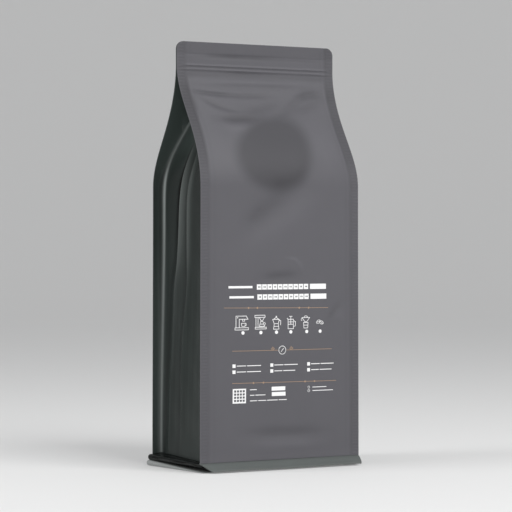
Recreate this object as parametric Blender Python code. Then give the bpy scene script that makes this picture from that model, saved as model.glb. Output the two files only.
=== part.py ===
"""Flat-bottom coffee bag: a filled, heat-sealed pouch that stands on its own base.

Run it with blender --background --python part.py, or from Blender's text editor.
Metres, +Z up. The origin lies on the table under the middle of the bag, and the printed face looks to -Y.

The bag is welded from films. A front and a back film carry a ribbed seal down both sides and meet in the
top seal. Between them stands the filled pouch, whose side gussets show, with a centre crease each and a
tuck at the shoulder. A base film closes the foot and flares out as a skirt round it.
"""

import math

import bmesh
import bpy

# Driving dimensions of the filled bag
FACE_WIDTH = 0.140
BAG_DEPTH = 0.076
BAG_HEIGHT = 0.326
FOOT_HEIGHT = 0.0075
SHOULDER_LOW = 0.2155
SHOULDER_HIGH = 0.3075
TUCK_TOP = 0.298

# Films and seals
FILM = 0.0004
FILM_GAP = 0.0003
SEAL_WIDTH = 0.0075
TOP_SEAL_THICKNESS = 0.0024
TOP_CORNER_RADIUS = 0.006
SHOULDER_NARROWING = 0.0018
FOOT_SPREAD = 0.0006

# Crown of the filled faces: a low belly and a fuller pillow at the shoulder
BELLY = 0.0026
BELLY_POWER = 0.7
SHOULDER_PILLOW = 0.0030
PILLOW_HEIGHT = 0.240
PILLOW_REACH = 0.032
CROWN_POWER = 2.4

# Shallow round dent in the front, and the zip's two ribs under both faces
DENT_X = -0.001
DENT_HEIGHT = 0.241
DENT_RADIUS = 0.034
DENT_DEPTH = 0.0012
DENT_RIM = 1.35
ZIP_HEIGHTS = (0.3048, 0.3080)
ZIP_RIB_WIDTH = 0.0016
ZIP_RIB_RISE = 0.0004

# Side gussets
GUSSET_WEB = 0.0005
GUSSET_POINTS = 13
TUCK_SLOPE = 0.010
TUCK_LAST = 0.016
TUCK_LAST_POWER = 2.2
CREASE_DEPTH = 0.0026
CREASE_WIDTH = 0.055
RIDGE_RISE = 0.0016
RIDGE_OFFSET = 0.13
RIDGE_WIDTH = 0.09
HOLLOW_DEPTH = 0.0030
HOLLOW_PLACE = 0.22
HOLLOW_WIDTH = 0.13
HOLLOW_EDGE = 0.08
RELIEF_FOOT_FADE = 0.020
GUSSET_LIP_BACK = 0.0085
GUSSET_LIP_FRONT = 0.0015
GUSSET_LIP_HEIGHT = 0.0035
GUSSET_LIP_ROWS = (0.35, 1.0)

# Base film: a block under the pouch and four skirt wings
BASE_INSET = 0.0025
BASE_FLOOR_SHARE = (0.98, 0.96)
SKIRT_REACH = 0.0070
SKIRT_CLEARANCE = 0.0008
SKIRT_FILM = 0.0009
SKIRT_LEFT_MITRE = 0.0060
SKIRT_RIGHT_MITRE = 0.0018
SIDE_WING_BACK_REACH = 0.0055
SIDE_WING_FRONT_REACH = -0.0055
SIDE_WING_BACK_LIP = 0.0042
SIDE_WING_FRONT_LIP = 0.0014

# Steps of the meshes
FACE_COLUMNS = 15
BODY_STEPS = 13
SHOULDER_STEPS = 14
CORNER_STEPS = 5

# Finishes: colour, roughness, metallic
FINISHES = {
    "matte_grey": ((0.138, 0.136, 0.150, 1.0), 0.55, 0.0),
    "dark_green": ((0.038, 0.044, 0.042, 1.0), 0.35, 0.0),
    "sage_grey": ((0.140, 0.153, 0.150, 1.0), 0.50, 0.0),
}


def clear_scene():
    """Empties the scene, so that the script can be run again."""
    for thing in list(bpy.data.objects):
        bpy.data.objects.remove(thing, do_unlink=True)


def make_finish(name):
    """One Principled material for a film."""
    colour, roughness, metallic = FINISHES[name]
    material = bpy.data.materials.new(name)
    material.use_nodes = True
    shader = material.node_tree.nodes["Principled BSDF"]
    shader.inputs["Base Color"].default_value = colour
    shader.inputs["Roughness"].default_value = roughness
    shader.inputs["Metallic"].default_value = metallic
    material.diffuse_color = colour
    return material


def add_object(name, mesh_builder, material):
    """Turns a bmesh into a named object with a material."""
    bmesh.ops.recalc_face_normals(mesh_builder, faces=mesh_builder.faces)
    mesh = bpy.data.meshes.new(name)
    mesh_builder.to_mesh(mesh)
    mesh_builder.free()
    mesh.materials.append(material)
    thing = bpy.data.objects.new(name, mesh)
    bpy.context.scene.collection.objects.link(thing)
    return thing


def smooth(share):
    """Eases from 0 to 1."""
    share = min(1.0, max(0.0, share))
    return share * share * (3.0 - 2.0 * share)


def bell(offset, width):
    """A soft bump, 1 in the middle."""
    return math.exp(-((offset / width) ** 2))


def shoulder_share(z):
    """0 below the shoulder, 1 above it."""
    return min(1.0, max(0.0, (z - SHOULDER_LOW) / (SHOULDER_HIGH - SHOULDER_LOW)))


def tip_x(z):
    """Half the width of a face over its side seals, round at the top corners."""
    share = shoulder_share(z)
    half = FACE_WIDTH / 2 - SHOULDER_NARROWING * math.sin(math.pi * share) ** 2
    half += FOOT_SPREAD * (1.0 - smooth(z / SHOULDER_LOW))
    above = z - (BAG_HEIGHT - TOP_CORNER_RADIUS)
    if above > 0:
        half -= TOP_CORNER_RADIUS - math.sqrt(max(0.0, TOP_CORNER_RADIUS**2 - above**2))
    return half


def root_x(z):
    """Half the width between the side seals."""
    below_corner = min(z, BAG_HEIGHT - TOP_CORNER_RADIUS)
    return tip_x(below_corner) - SEAL_WIDTH


def seal_y(z):
    """How far the side seals stand from the middle plane."""
    seal_half = TOP_SEAL_THICKNESS / 2
    return seal_half + (BAG_DEPTH / 2 - seal_half) * (1.0 - smooth(shoulder_share(z)))


def crown(x, z):
    """How far a filled face swells out between its seals."""
    height_share = (z - FOOT_HEIGHT) / (TUCK_TOP - FOOT_HEIGHT)
    if not 0.0 < height_share < 1.0:
        return 0.0
    swell = BELLY * math.sin(math.pi * height_share) ** BELLY_POWER
    swell += SHOULDER_PILLOW * bell(z - PILLOW_HEIGHT, PILLOW_REACH)
    across = min(1.0, abs(x) / root_x(z))
    return swell * (1.0 - across**CROWN_POWER)


def dent(x, z):
    """Depth of the round dent in the front face."""
    distance = math.hypot(x - DENT_X, z - DENT_HEIGHT)
    return DENT_DEPTH * smooth(DENT_RIM * (1.0 - distance / DENT_RADIUS))


def zip_rise(x, z):
    """Height of the zip's ribs, which end at the side seals."""
    if abs(x) >= root_x(z) - 1e-9:
        return 0.0
    shares = [1.0 - abs(z - height) / (ZIP_RIB_WIDTH / 2) for height in ZIP_HEIGHTS]
    return ZIP_RIB_RISE * sum(max(0.0, share) for share in shares)


def face_y(x, z, front):
    """Distance of a face's outer side from the middle plane."""
    out = seal_y(z) + crown(x, z) + zip_rise(x, z)
    return out - dent(x, z) if front else out


def row_heights():
    """Heights of the rings: even on the body, closer on the shoulder, the zip and the round corners."""
    body = [FOOT_HEIGHT + (SHOULDER_LOW - FOOT_HEIGHT) * n / BODY_STEPS for n in range(BODY_STEPS)]
    span = TUCK_TOP - SHOULDER_LOW
    shoulder = [SHOULDER_LOW + span * n / SHOULDER_STEPS for n in range(SHOULDER_STEPS + 1)]
    ribs = [height + ZIP_RIB_WIDTH / 2 * side for height in ZIP_HEIGHTS for side in (-1, 0, 1)]
    turn = [math.pi / 2 * n / CORNER_STEPS for n in range(CORNER_STEPS + 1)]
    top = [BAG_HEIGHT - TOP_CORNER_RADIUS * (1.0 - math.sin(angle)) for angle in turn]
    return body + shoulder + ribs + top


def face_columns(z):
    """Places across a face: both seal tips, both seal roots and even steps between the roots."""
    root = root_x(z)
    inner = [root * (2.0 * n / (FACE_COLUMNS - 1) - 1.0) for n in range(FACE_COLUMNS)]
    return [-tip_x(z)] + inner + [tip_x(z)]


def build_face(name, front, material):
    """A face film: one sheet over the whole height, thickened towards the pouch."""
    side = -1.0 if front else 1.0
    shape = bmesh.new()
    rows = []
    for z in row_heights():
        rows.append([shape.verts.new((x, side * face_y(x, z, front), z)) for x in face_columns(z)])
    for lower, upper in zip(rows, rows[1:]):
        for n in range(len(lower) - 1):
            corners = (lower[n], lower[n + 1], upper[n + 1], upper[n])
            shape.faces.new(corners if front else corners[::-1])
    film = [(vert.co.copy(), vert) for vert in shape.verts]
    inner = {vert: shape.verts.new((place.x, place.y - side * FILM, place.z)) for place, vert in film}
    for face in list(shape.faces):
        shape.faces.new([inner[vert] for vert in reversed(face.verts)])
    outline = [edge for edge in shape.edges if edge.is_boundary and edge.verts[0] in inner]
    for edge in outline:
        first, second = edge.verts
        shape.faces.new((first, second, inner[second], inner[first]))
    return add_object(name, shape, material)


def tuck(z):
    """How far the gusset's middle field has moved in between the faces."""
    share = min(1.0, max(0.0, (z - SHOULDER_LOW) / (TUCK_TOP - SHOULDER_LOW)))
    return TUCK_SLOPE * share + TUCK_LAST * share**TUCK_LAST_POWER


def gusset_relief(along, z):
    """Folds of a gusset, outward, at a share of the way from the back to the front."""
    fade = 1.0 - smooth((z - SHOULDER_LOW) / (TUCK_TOP - SHOULDER_LOW))
    fade *= smooth((z - FOOT_HEIGHT) / RELIEF_FOOT_FADE)
    folds = -CREASE_DEPTH * bell(along - 0.5, CREASE_WIDTH)
    folds += RIDGE_RISE * bell(along - 0.5 + RIDGE_OFFSET, RIDGE_WIDTH)
    folds += RIDGE_RISE * bell(along - 0.5 - RIDGE_OFFSET, RIDGE_WIDTH)
    folds -= HOLLOW_DEPTH * bell(along - HOLLOW_PLACE, HOLLOW_WIDTH) * smooth(along / HOLLOW_EDGE)
    return folds * fade


def gusset_lip(along, z):
    """Outward roll at the gusset's foot, widest at the back."""
    roll = 1.0 - smooth((z - FOOT_HEIGHT) / GUSSET_LIP_HEIGHT)
    return (GUSSET_LIP_BACK + (GUSSET_LIP_FRONT - GUSSET_LIP_BACK) * along) * roll


def pouch_rows():
    """The pouch takes the films' rows, and two more for the roll at its foot."""
    rows = row_heights()
    roll = [FOOT_HEIGHT + GUSSET_LIP_HEIGHT * share for share in GUSSET_LIP_ROWS]
    return rows[:1] + roll + rows[1:]


def gusset_points(z, web_y):
    """A gusset's section from the front seal to the back one, as (distance from the middle, y)."""
    field = root_x(z) - tuck(z)
    points = []
    for n in range(GUSSET_POINTS):
        share = n / (GUSSET_POINTS - 1)
        along = 1.0 - share
        out = field + gusset_relief(along, z) + gusset_lip(along, z)
        points.append((out, web_y * (2.0 * share - 1.0)))
    return points


def pouch_section(z):
    """One ring of the pouch, anticlockwise from the front left tip: front, right side, back, left side."""
    skin = FILM + FILM_GAP
    web_y = seal_y(z) - skin - GUSSET_WEB
    columns = face_columns(z)
    front = [(x, -(face_y(x, z, True) - skin)) for x in columns]
    back = [(x, face_y(x, z, False) - skin) for x in reversed(columns)]
    tip = tip_x(z)
    side = [(tip, -web_y)] + gusset_points(z, web_y) + [(tip, web_y)]
    if z > TUCK_TOP:
        side = [side[0], side[-1]]
    left = [(-x, y) for x, y in reversed(side)]
    return front + side + back + left


def build_pouch(material):
    """The filled pouch with its gussets, from the foot to the top seal."""
    shape = bmesh.new()
    columns = FACE_COLUMNS + 2
    heights = pouch_rows()
    rings = [[shape.verts.new((x, y, z)) for x, y in pouch_section(z)] for z in heights]
    last_tucked = max(n for n, z in enumerate(heights) if z <= TUCK_TOP)

    def bridge(lower, upper):
        for n in range(len(lower)):
            after = (n + 1) % len(lower)
            shape.faces.new((lower[n], lower[after], upper[after], upper[n]))

    for lower, upper in zip(rings[: last_tucked + 1], rings[1 : last_tucked + 1]):
        bridge(lower, upper)
    tucked = rings[last_tucked]
    right_start = columns
    left_start = 2 * columns + GUSSET_POINTS + 2
    for start in (right_start, left_start):
        shape.faces.new(tucked[start : start + GUSSET_POINTS + 2])
    right_inner = range(right_start + 1, right_start + 1 + GUSSET_POINTS)
    left_inner = range(left_start + 1, left_start + 1 + GUSSET_POINTS)
    hidden = set(right_inner) | set(left_inner)
    plain = [vert for n, vert in enumerate(tucked) if n not in hidden]
    for lower, upper in zip([plain] + rings[last_tucked + 1 :], rings[last_tucked + 1 :]):
        bridge(lower, upper)
    shape.faces.new(list(reversed(rings[0])))
    shape.faces.new(rings[-1])
    bmesh.ops.triangulate(shape, faces=[face for face in shape.faces if len(face.verts) > 4])
    return add_object("pouch", shape, material)


def add_prism(shape, lower, upper):
    """A closed block between two loops of corners with the same count."""
    low = [shape.verts.new(corner) for corner in lower]
    high = [shape.verts.new(corner) for corner in upper]
    for n in range(len(low)):
        after = (n + 1) % len(low)
        shape.faces.new((low[n], low[after], high[after], high[n]))
    shape.faces.new(list(reversed(low)))
    shape.faces.new(high)


def build_block(name, lower, upper, material):
    """A block as an object of its own."""
    shape = bmesh.new()
    add_prism(shape, lower, upper)
    return add_object(name, shape, material)


def base_core():
    """The flat block under the pouch: its foot and its top loop."""
    half_x = root_x(FOOT_HEIGHT) - BASE_INSET
    half_y = BAG_DEPTH / 2 - FILM
    top = FOOT_HEIGHT - FILM_GAP
    corners = ((-half_x, -half_y), (half_x, -half_y), (half_x, half_y), (-half_x, half_y))
    share_x, share_y = BASE_FLOOR_SHARE
    lower = [(x * share_x, y * share_y, 0.0) for x, y in corners]
    return lower, [(x, y, top) for x, y in corners]


def skirt_wing(side):
    """The front or back skirt: a thin strip that slopes out from the foot line, with mitred ends."""
    top = FOOT_HEIGHT - FILM_GAP
    inner_y = BAG_DEPTH / 2 - 2 * FILM
    outer_y = BAG_DEPTH / 2 + SKIRT_REACH
    tip = tip_x(FOOT_HEIGHT)
    left = -tip + SKIRT_LEFT_MITRE
    right = tip - SKIRT_RIGHT_MITRE
    outer_z = SKIRT_CLEARANCE + SKIRT_FILM
    upper = [
        (-tip, side * inner_y, top),
        (tip, side * inner_y, top),
        (right, side * outer_y, outer_z),
        (left, side * outer_y, outer_z),
    ]
    lower = [(x, y, z - SKIRT_FILM) for x, y, z in upper]
    return lower, upper


def side_wing(side):
    """A side wing: a lip that lies out from under the gusset, widest and thickest at the back."""
    top = FOOT_HEIGHT - FILM_GAP
    inner_x = root_x(FOOT_HEIGHT) - 2 * BASE_INSET
    back_y = BAG_DEPTH / 2 - FILM
    front_y = -back_y
    tip = tip_x(FOOT_HEIGHT)
    back_x = tip + SIDE_WING_BACK_REACH
    front_x = tip + SIDE_WING_FRONT_REACH
    floor = SKIRT_CLEARANCE
    lower = [
        (side * inner_x, front_y, floor),
        (side * front_x, front_y, floor),
        (side * back_x, back_y, floor),
        (side * inner_x, back_y, floor),
    ]
    upper = [
        (side * inner_x, front_y, top),
        (side * front_x, front_y, floor + SIDE_WING_FRONT_LIP),
        (side * back_x, back_y, floor + SIDE_WING_BACK_LIP),
        (side * inner_x, back_y, top),
    ]
    return lower, upper


def build_base(material):
    """The base film, joined from its block and its four wings."""
    base = build_block("base_panel", *base_core(), material)
    wings = bpy.data.collections.new("base_wings")
    bpy.context.scene.collection.children.link(wings)
    for side in (-1.0, 1.0):
        for name, loops in (("skirt", skirt_wing(side)), ("side", side_wing(side))):
            wing = build_block(name, *loops, material)
            bpy.context.scene.collection.objects.unlink(wing)
            wings.objects.link(wing)
    join = base.modifiers.new("join_wings", "BOOLEAN")
    join.operation = "UNION"
    join.solver = "EXACT"
    join.operand_type = "COLLECTION"
    join.collection = wings
    bpy.context.view_layer.update()
    joined = bpy.data.meshes.new_from_object(base.evaluated_get(bpy.context.evaluated_depsgraph_get()))
    base.modifiers.remove(join)
    base.data = joined
    for wing in list(wings.objects):
        bpy.data.objects.remove(wing, do_unlink=True)
    bpy.data.collections.remove(wings)
    return base


def main():
    """Builds the bag: its pouch, its two face films and its base film."""
    clear_scene()
    grey = make_finish("matte_grey")
    build_pouch(make_finish("dark_green"))
    build_face("front_panel", True, grey)
    build_face("back_panel", False, grey)
    build_base(make_finish("sage_grey"))


main()
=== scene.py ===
"""Looks of the flat-bottom coffee bag: fine films, folded gussets, a flared foot, print and a pale studio.

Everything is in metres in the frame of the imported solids: +Z up, the printed face towards -Y.
Places on the front face are written in millimetres, as (across, up), and turned into metres by MM.
"""

import math

import bpy
import numpy as np
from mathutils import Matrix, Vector


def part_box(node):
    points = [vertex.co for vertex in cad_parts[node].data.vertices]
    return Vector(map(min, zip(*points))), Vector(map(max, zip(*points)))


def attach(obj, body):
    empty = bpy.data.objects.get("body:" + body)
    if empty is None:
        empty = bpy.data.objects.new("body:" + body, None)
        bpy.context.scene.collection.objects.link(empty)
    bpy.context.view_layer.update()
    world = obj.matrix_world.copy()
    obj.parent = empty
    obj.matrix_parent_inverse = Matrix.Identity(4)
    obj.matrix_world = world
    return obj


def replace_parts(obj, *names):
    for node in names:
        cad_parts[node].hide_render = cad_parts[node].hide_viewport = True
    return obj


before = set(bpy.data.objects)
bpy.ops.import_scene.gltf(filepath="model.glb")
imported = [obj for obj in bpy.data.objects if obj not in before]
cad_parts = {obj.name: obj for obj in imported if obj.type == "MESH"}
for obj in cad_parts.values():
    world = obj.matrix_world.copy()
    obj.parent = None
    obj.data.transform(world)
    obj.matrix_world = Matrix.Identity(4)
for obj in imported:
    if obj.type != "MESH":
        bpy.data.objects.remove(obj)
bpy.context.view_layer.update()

MM = 0.001

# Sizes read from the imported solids
FACE_LOW, FACE_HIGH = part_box("front_panel")
FOOT_HEIGHT = FACE_LOW.z
BAG_HEIGHT = FACE_HIGH.z
BASE_LOW, BASE_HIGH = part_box("base_panel")
SKIRT_EDGE = -BASE_LOW.y
LIP_EDGE = BASE_HIGH.x

# The same driving sizes as the solids
FOOT_SPREAD = 0.6 * MM
FACE_HALF = FACE_HIGH.x - FOOT_SPREAD
DEPTH_HALF = 38.0 * MM
SHOULDER_LOW = 215.5 * MM
SHOULDER_HIGH = 307.5 * MM
SEAL_WIDTH = 7.5 * MM
SHOULDER_NARROWING = 1.8 * MM
TOP_CORNER_RADIUS = 6.0 * MM
BELLY = 2.6 * MM
BELLY_POWER = 0.7
SHOULDER_PILLOW = 3.0 * MM
PILLOW_HEIGHT = 240.0 * MM
PILLOW_REACH = 32.0 * MM
CROWN_POWER = 2.4
TUCK_TOP = 298.0 * MM
TUCK_SLOPE = 10.0 * MM
TUCK_LAST = 16.0 * MM
TUCK_LAST_POWER = 2.2

# Films and seals, finer than in the solids
FILM = 0.35 * MM
FILM_AIR = 0.04 * MM
TOP_SEAL_HALF = 0.9 * MM
TOP_SEAL_FOOT = 316.4 * MM
TOP_LAP = 1.5 * MM
SEAL_EDGE = 1.0 * MM
FOLD_EDGE = 3.0 * MM
RUNG_PITCH = 2.4 * MM
RUNG_RISE = 0.15 * MM
RUNG_SHARPNESS = 1.5
RUNG_BASE = 0.4
RUNG_INSET = 1.2 * MM
RUNG_EDGE = 0.5 * MM
ROOT_GROOVE = 0.16 * MM
ROOT_GROOVE_WIDTH = 0.7 * MM
HEAT_LINE_INSET = 11.4 * MM
HEAT_LINE_DEPTH = 0.05 * MM
ZIP_HEIGHTS = (304.8 * MM, 308.0 * MM)
ZIP_WIDTH = 0.75 * MM
ZIP_RISE = 0.60 * MM
ZIP_END_INSET = 2.4 * MM
ZIP_END_FADE = 3.0 * MM
ZIP_SIDE_FADE = 2.0 * MM
ZIP_UNDER_SEAL = 0.45

# Mesh steps of the face films
ROW_STEP = 0.6 * MM
BODY_COLUMNS = 61
FIN_COLUMNS = 8
CORNER_ROWS = 16

# Soft folds of the faces: start, end, sideways bow, width, rise, all in mm; a last number is painted shade
# along the fold, painted light where it is negative
FRONT_FOLDS = (
    ((-54.0, 315.0), (-12.0, 315.0), 0.0, 1.3, -0.30, 0.10),
    ((10.0, 315.0), (66.0, 314.8), 0.0, 1.2, -0.20, 0.08),
    ((-42.0, 315.4), (24.0, 315.0), 0.0, 1.6, -0.45, 0.20),
    ((-34.0, 302.6), (16.0, 302.2), 0.0, 1.9, -0.50, 0.09),
    ((-61.0, 295.0), (59.0, 296.4), 0.6, 2.8, 0.90, -0.02),
    ((-66.0, 292.0), (64.0, 292.6), 0.0, 2.0, -0.15, 0.07),
    ((-64.0, 288.8), (-20.0, 285.6), -1.0, 1.5, -0.95, 0.19),
    ((-36.0, 285.6), (14.0, 286.6), -0.8, 1.9, -0.55, 0.16),
    ((-55.0, 285.5), (-20.0, 273.0), -3.2, 2.1, -0.80, 0.16),
    ((-26.0, 273.0), (22.0, 283.6), -2.8, 3.6, -0.60, 0.15),
    ((-46.0, 267.6), (-4.0, 270.0), -1.9, 3.0, -1.25, 0.30),
    ((-40.0, 261.6), (-14.0, 262.6), -1.4, 2.6, 0.45, -0.05),
    ((7.0, 268.0), (39.0, 286.0), -0.4, 3.0, -0.80, 0.12),
    ((28.0, 282.4), (62.0, 286.8), 3.2, 2.9, -1.00, 0.21),
    ((22.0, 271.0), (60.0, 285.0), 0.4, 3.2, -0.50, 0.12),
    ((10.0, 216.0), (-35.0, 180.0), 0.0, 7.6, -0.95, 0.12),
    ((-30.0, 184.0), (-14.0, 200.0), 1.0, 5.0, -0.30, 0.05),
    ((40.0, 213.0), (-38.0, 160.0), 0.0, 9.5, 1.30, -0.09),
    ((2.6, 160.4), (18.8, 148.0), 4.2, 1.4, 0.50, -0.11),
    ((-21.0, 145.4), (17.0, 148.0), 0.0, 3.6, -0.80, 0.16),
    ((54.0, 127.5), (40.0, 111.0), 0.0, 2.4, -0.45, 0.09),
    ((57.0, 122.0), (50.0, 111.0), 0.0, 4.0, 0.35, -0.04),
    ((-38.0, 27.8), (44.0, 26.6), 0.0, 4.4, -0.95, 0.12),
    ((-34.0, 18.4), (40.0, 18.0), 0.0, 4.4, 0.60, -0.10),
    ((-58.0, 246.0), (-40.0, 262.0), 0.0, 9.0, 0.50, 0.00),
    ((36.0, 262.0), (60.0, 232.0), 0.0, 12.0, 0.50, -0.07),
)
BACK_FOLDS = (
    ((-30.0, 302.6), (12.0, 302.4), 0.0, 2.0, -0.26, 0.08),
    ((-60.0, 296.6), (60.0, 295.2), -0.5, 3.0, 0.40, 0.00),
    ((8.0, 286.0), (58.0, 289.8), 1.4, 1.8, -0.24, 0.06),
    ((-52.0, 284.0), (-22.0, 272.0), 1.6, 3.4, -0.30, 0.05),
    ((-14.0, 262.0), (22.0, 258.0), -2.0, 4.0, -0.30, 0.04),
    ((30.0, 204.0), (-26.0, 172.0), 2.0, 8.0, 0.45, 0.00),
    ((-24.0, 140.0), (10.0, 128.0), 2.0, 6.0, -0.24, 0.03),
    ((-30.0, 32.0), (24.0, 28.0), 0.0, 5.0, -0.32, 0.04),
)
FOLD_TAPER = 0.4
FOLD_END_SHARE = 0.2
FOLD_SHADE_SPREAD = 1.2

# Round dent of the shoulder, with its darker patch, partly painted shade, and the crescent of painted shade
# at its lower right, in mm
DENT_CENTRE = (-4.2, 240.5)
DENT_RADII = (34.0, 31.0)
DENT_DEPTH = 0.7
DENT_RIM = 1.35
DENT_LEAN = 0.23
DENT_BOW = 0.008
PATCH_RADII = (40.0, 35.0)
PATCH_SOFTNESS = 0.36
PATCH_SHADE = 0.37
CRESCENT = ((-17.0, 224.0), (27.0, 234.0), -9.5, 7.0)
CRESCENT_TAPER = 0.3
CRESCENT_SHADE = 0.08

# The side seals are darker, partly from their double film and, on the shoulder, mostly from painted shade:
# (height in mm, shade)
LEFT_STRIP_SHADE = (
    (214, 0.07), (226, 0.13), (234, 0.26), (248, 0.28), (264, 0.33), (280, 0.40), (289, 0.36), (296, 0.24),
    (304, 0.13), (312, 0.06),
)
RIGHT_STRIP_SHADE = (
    (214, 0.07), (226, 0.16), (240, 0.31), (264, 0.29), (280, 0.26), (288, 0.32), (296, 0.24), (302, 0.12),
    (312, 0.10),
)
STRIP_SMOOTHING = 4.0
STRIP_EDGE = 1.4 * MM
STRIP_BULGE = 1.4 * MM
STRIP_BULGE_HEIGHT = 277.0 * MM
STRIP_BULGE_REACH = 16.0 * MM

# How far up and down a table by height is smoothed, in mm, unless it has its own reach
TABLE_SMOOTHING = 9.0

# Other tones of the face films
# Painted shade in the groove at each side seal's root
ROOT_SHADE = 0.07
ROOT_SHADE_WIDTH = 0.8 * MM
# Painted shade between the rungs of the side seals
RUNG_SHADE = 0.07
HEAT_LINE_SHADE = 0.04
TOP_SEAL_SHADE = 0.10
# Painted shadow under the zip's ribs and along the zip's foot
ZIP_SHADOW = 0.10
ZIP_SHADOW_DROP = 0.9 * MM
ZIP_SHADOW_WIDTH = 0.6 * MM
ZIP_FOOT = 300.8 * MM
ZIP_FOOT_WIDTH = 2.4 * MM
ZIP_FOOT_SHADE = 0.13
# Painted light along the foot of the face films
FOOT_LIGHT = 0.12
FOOT_LIGHT_REACH = 5.0 * MM
# Paler film along the cut edges
CUT_EDGE_WIDTH = 0.5 * MM
CUT_EDGE_PALENESS = 0.10


def ease(share):
    """Eases from 0 to 1."""
    share = np.clip(share, 0.0, 1.0)
    return share * share * (3.0 - 2.0 * share)


def bell(offset, width):
    """A soft bump, 1 in the middle."""
    return np.exp(-((offset / width) ** 2))


def along_line(z, places, reach=TABLE_SMOOTHING):
    """A value that changes smoothly with the height, through about the given places."""
    heights, values = zip(*places)
    shifts = (-reach, -reach / 2, 0.0, reach / 2, reach)
    return sum(np.interp(z / MM + shift, heights, values) for shift in shifts) / len(shifts)


def fold_mask(x, z, start, end, bow, width, taper=FOLD_TAPER):
    """1 along a soft line between two places in mm, which bows sideways and fades at its ends."""
    across, up = end[0] - start[0], end[1] - start[1]
    length = math.hypot(across, up)
    dx, dz = x / MM - start[0], z / MM - start[1]
    along = (dx * across + dz * up) / length**2
    held = np.clip(along, 0.0, 1.0)
    side = (dz * across - dx * up) / length - bow * 4.0 * held * (1.0 - held)
    past = (along - held) * length
    fade = ease(held / taper) * ease((1.0 - held) / taper)
    return bell(np.hypot(side, past), width) * (FOLD_END_SHARE + (1.0 - FOLD_END_SHARE) * fade)


def dent_share(x, z, radii):
    """0 in the middle of the leaning dent, 1 on an ellipse of the given radii in mm."""
    up = z / MM - DENT_CENTRE[1]
    across = x / MM - DENT_CENTRE[0] - DENT_LEAN * up - DENT_BOW * up**2
    return np.hypot(across / radii[0], up / radii[1])


# Outline and sides of the bag


def shoulder_share(z):
    """0 below the shoulder, 1 above it."""
    return np.clip((z - SHOULDER_LOW) / (SHOULDER_HIGH - SHOULDER_LOW), 0.0, 1.0)


def tip_x(z):
    """Half the width of a face over its side seals, round at the top corners."""
    half = FACE_HALF - SHOULDER_NARROWING * np.sin(math.pi * shoulder_share(z)) ** 2
    half = half + FOOT_SPREAD * (1.0 - ease(z / SHOULDER_LOW))
    above = np.clip(z - (BAG_HEIGHT - TOP_CORNER_RADIUS), 0.0, TOP_CORNER_RADIUS)
    return half - TOP_CORNER_RADIUS + np.sqrt(TOP_CORNER_RADIUS**2 - above**2)


def root_x(z):
    """Half the width between the side seals."""
    return tip_x(np.minimum(z, BAG_HEIGHT - TOP_CORNER_RADIUS)) - SEAL_WIDTH


def seal_y(z):
    """How far the side seals stand from the middle plane."""
    return TOP_SEAL_HALF + (DEPTH_HALF - TOP_SEAL_HALF) * (1.0 - ease(shoulder_share(z)))


def crown(x, z):
    """How far a filled face swells out between its seals."""
    height_share = np.clip((z - FOOT_HEIGHT) / (TUCK_TOP - FOOT_HEIGHT), 0.0, 1.0)
    swell = BELLY * np.sin(math.pi * height_share) ** BELLY_POWER
    swell = swell + SHOULDER_PILLOW * bell(z - PILLOW_HEIGHT, PILLOW_REACH) * (height_share < 1.0)
    across = np.minimum(1.0, np.abs(x) / root_x(z))
    return swell * (1.0 - across**CROWN_POWER)


# Relief of the face films


def between_seals(x, z, edge=SEAL_EDGE):
    """1 on the face, 0 on its side seals."""
    return ease((root_x(z) - np.abs(x)) / edge)


def seal_mask(x, z):
    """1 on the ribbed strip of the side seals."""
    inner = (np.abs(x) - root_x(z) - RUNG_INSET) / RUNG_EDGE
    outer = (tip_x(z) - np.abs(x)) / RUNG_EDGE
    return ease(inner) * ease(outer)


def top_mask(z):
    """1 on the top seal."""
    return ease((z - TOP_SEAL_FOOT) / RUNG_EDGE) * ease((BAG_HEIGHT - z) / RUNG_EDGE)


def rung_wave(z):
    """1 on each rung of the side seals, 0 between them."""
    return 0.5 + 0.5 * np.cos(2.0 * math.pi * z / RUNG_PITCH)


def heat_line(x, z):
    """1 on the faint line that the heating bar left."""
    return bell(np.abs(x) - tip_x(z) + HEAT_LINE_INSET, ROOT_GROOVE_WIDTH)


def seal_relief(x, z):
    """Rungs of the side seals, the grooves at the seals' roots and the heating bar's line."""
    relief = RUNG_RISE * (rung_wave(z) ** RUNG_SHARPNESS - RUNG_BASE) * seal_mask(x, z)
    relief = relief - ROOT_GROOVE * bell(np.abs(x) - root_x(z), ROOT_GROOVE_WIDTH)
    relief = relief - HEAT_LINE_DEPTH * heat_line(x, z)
    return relief - ROOT_GROOVE * bell(z - TOP_SEAL_FOOT, ROOT_GROOVE_WIDTH) * between_seals(x, z)


def zip_reach(x, z):
    """1 along the zip, which is weaker under the side seals."""
    end = ease((tip_x(z) - ZIP_END_INSET - np.abs(x)) / ZIP_END_FADE)
    return end * (ZIP_UNDER_SEAL + (1.0 - ZIP_UNDER_SEAL) * between_seals(x, z, ZIP_SIDE_FADE))


def zip_relief(x, z):
    """The zip's two ribs, which show through both faces."""
    ribs = sum(bell(z - height, ZIP_WIDTH) for height in ZIP_HEIGHTS)
    return ZIP_RISE * ribs * zip_reach(x, z)


def fold_relief(x, z, folds):
    """All soft folds of a face, which end at its side seals."""
    relief = sum(rise * MM * fold_mask(x, z, *line) for *line, rise, _ in folds)
    return relief * between_seals(x, z, FOLD_EDGE)


def dent_relief(x, z):
    """The round dent of the front face."""
    return -DENT_DEPTH * MM * ease(DENT_RIM * (1.0 - dent_share(x, z, DENT_RADII)))


def face_out(x, z, front):
    """Distance of a face's outer side from the middle plane."""
    out = seal_y(z) + crown(x, z) + seal_relief(x, z) + zip_relief(x, z)
    if front:
        return out + fold_relief(x, z, FRONT_FOLDS) + dent_relief(x, z)
    return out + fold_relief(x, z, BACK_FOLDS)


# Tones of the face films, mostly painted shade and light


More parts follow.
